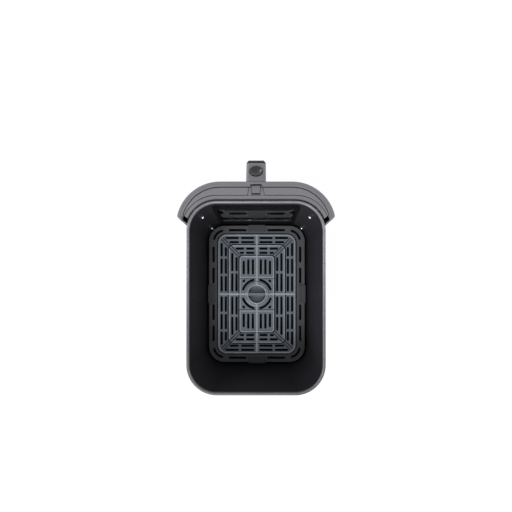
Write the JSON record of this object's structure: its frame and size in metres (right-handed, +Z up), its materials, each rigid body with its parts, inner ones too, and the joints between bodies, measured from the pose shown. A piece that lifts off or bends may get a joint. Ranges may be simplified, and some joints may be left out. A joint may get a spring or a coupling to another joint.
{
  "type": "air fryer drawer",
  "caption": "Air fryer drawer: deep tapered pan with a window, curved grey front, handle with release button and latch, lift-out slotted crisper plate.",
  "frame": {"origin": "centre of the whole drawer's bounding box, on the surface that the pan stands on", "axes": "+Z up; -Y is the front with the handle, +Y the pan's rear; X runs across, and the outer form is the same left and right"},
  "size_m": [0.2518, 0.396, 0.125],
  "materials": {
    "pan_coating": "satin black non-stick coating on steel",
    "stainless": "bright stainless",
    "silicone": "matte silicone",
    "black_trim": "black enamel on steel",
    "glass": "clear tempered glass",
    "zinc_steel": "zinc-plated steel",
    "inner_grey": "dark moulded plastic",
    "shell_grey": "fine matte grey moulded plastic",
    "spring_steel": "bright spring wire",
    "button_dark": "satin dark plastic",
    "latch_grey": "grey acetal",
    "plate_coating": "satin grey non-stick coating on cast aluminium"
  },
  "bodies": {
    "drawer": {"pan": "pan_coating", "pan_screws": "stainless", "pan_screw_seals": "silicone", "window_bezel": "black_trim", "window_gasket": "silicone", "window_glass": "glass", "window_retainer": "zinc_steel", "window_nuts": "zinc_steel", "front_carrier": "inner_grey", "carrier_screws": "zinc_steel", "front_shell": "shell_grey", "lower_cover": "inner_grey", "lower_cover_screws": "stainless", "top_cover_left": "shell_grey", "top_cover_right": "shell_grey", "outer_window_seal": "silicone", "outer_window_glass": "glass", "handle_outer": "shell_grey", "handle_inner": "shell_grey", "handle_screws": "stainless", "handle_bracket": "zinc_steel", "handle_fix_screws": "zinc_steel", "button_guide": "inner_grey", "guide_screws": "zinc_steel", "button_spring": "spring_steel", "latch_housing": "shell_grey", "latch_screws": "zinc_steel", "latch_spring": "spring_steel"},
    "button": {"release_button": "button_dark"},
    "latch_bolt": {"latch": "latch_grey"},
    "crisper": {"crisper_plate": "plate_coating", "bumper_front": "silicone", "bumper_rear": "silicone", "bumper_left": "silicone", "bumper_right": "silicone"}
  },
  "joints": [
    {"name": "button_press", "type": "slide", "parent": "drawer", "child": "button", "axis": [0, 0.3827, -0.9239], "range_m": [0, 0.0036], "stiffness_N_per_m": 400, "springref_m": -0.003, "deforming": ["button_spring"]},
    {"name": "latch_drop", "type": "slide", "parent": "drawer", "child": "latch_bolt", "axis": [0, 0, -1], "range_m": [0, 0.0034], "stiffness_N_per_m": 400, "springref_m": -0.004, "deforming": ["latch_spring"]},
    {"name": "crisper_lift", "type": "slide", "parent": "drawer", "child": "crisper", "axis": [0, 0, 1], "range_m": [0, 0.13]}
  ],
  "couplings": [
    {"joint": "latch_drop", "follows": "button_press", "ratio": 0.92388}
  ]
}
